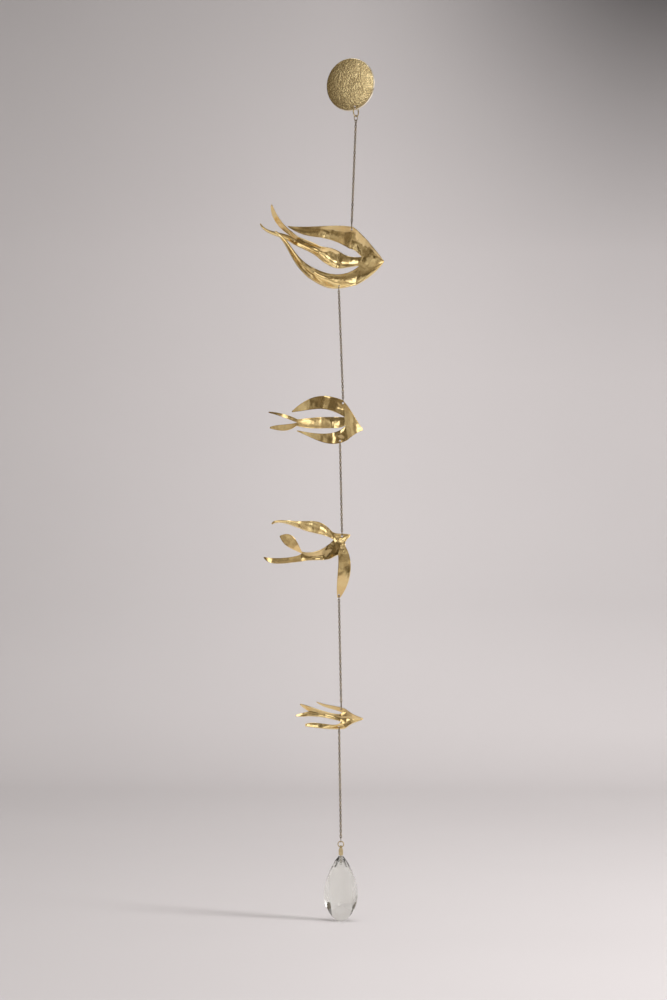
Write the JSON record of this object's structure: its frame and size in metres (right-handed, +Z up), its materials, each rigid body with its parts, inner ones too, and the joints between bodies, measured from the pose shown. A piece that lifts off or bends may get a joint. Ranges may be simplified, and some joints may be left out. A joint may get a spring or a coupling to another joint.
{
  "type": "hanging suncatcher",
  "caption": "Suncatcher with a hammered brass disc, swallows cut and bent from brass sheet on a fine chain, and a faceted clear crystal drop.",
  "frame": {"origin": "middle of the disc's flat back, where the suncatcher is fixed", "axes": "+Z up along the hanging line, +X the way the swallows fly, seen from the front, +Y away from the viewer"},
  "size_m": [0.0965, 0.0315, 0.6647],
  "materials": {
    "hammered_brass": "finely hammered, aged",
    "polished_brass": "polished sheet",
    "chain_brass": "bright wire",
    "clear_crystal": "clear, faceted, polished"
  },
  "bodies": {
    "root": {"disc": "hammered_brass", "disc_ring": "chain_brass", "chain_1": "chain_brass", "bird_1": "polished_brass", "chain_2": "chain_brass", "bird_2": "polished_brass", "chain_3": "chain_brass", "bird_3": "polished_brass", "chain_4": "chain_brass", "bird_4": "polished_brass", "chain_5": "chain_brass", "drop_ring": "chain_brass", "bail": "chain_brass", "crystal_drop": "clear_crystal"}
  },
  "joints": []
}
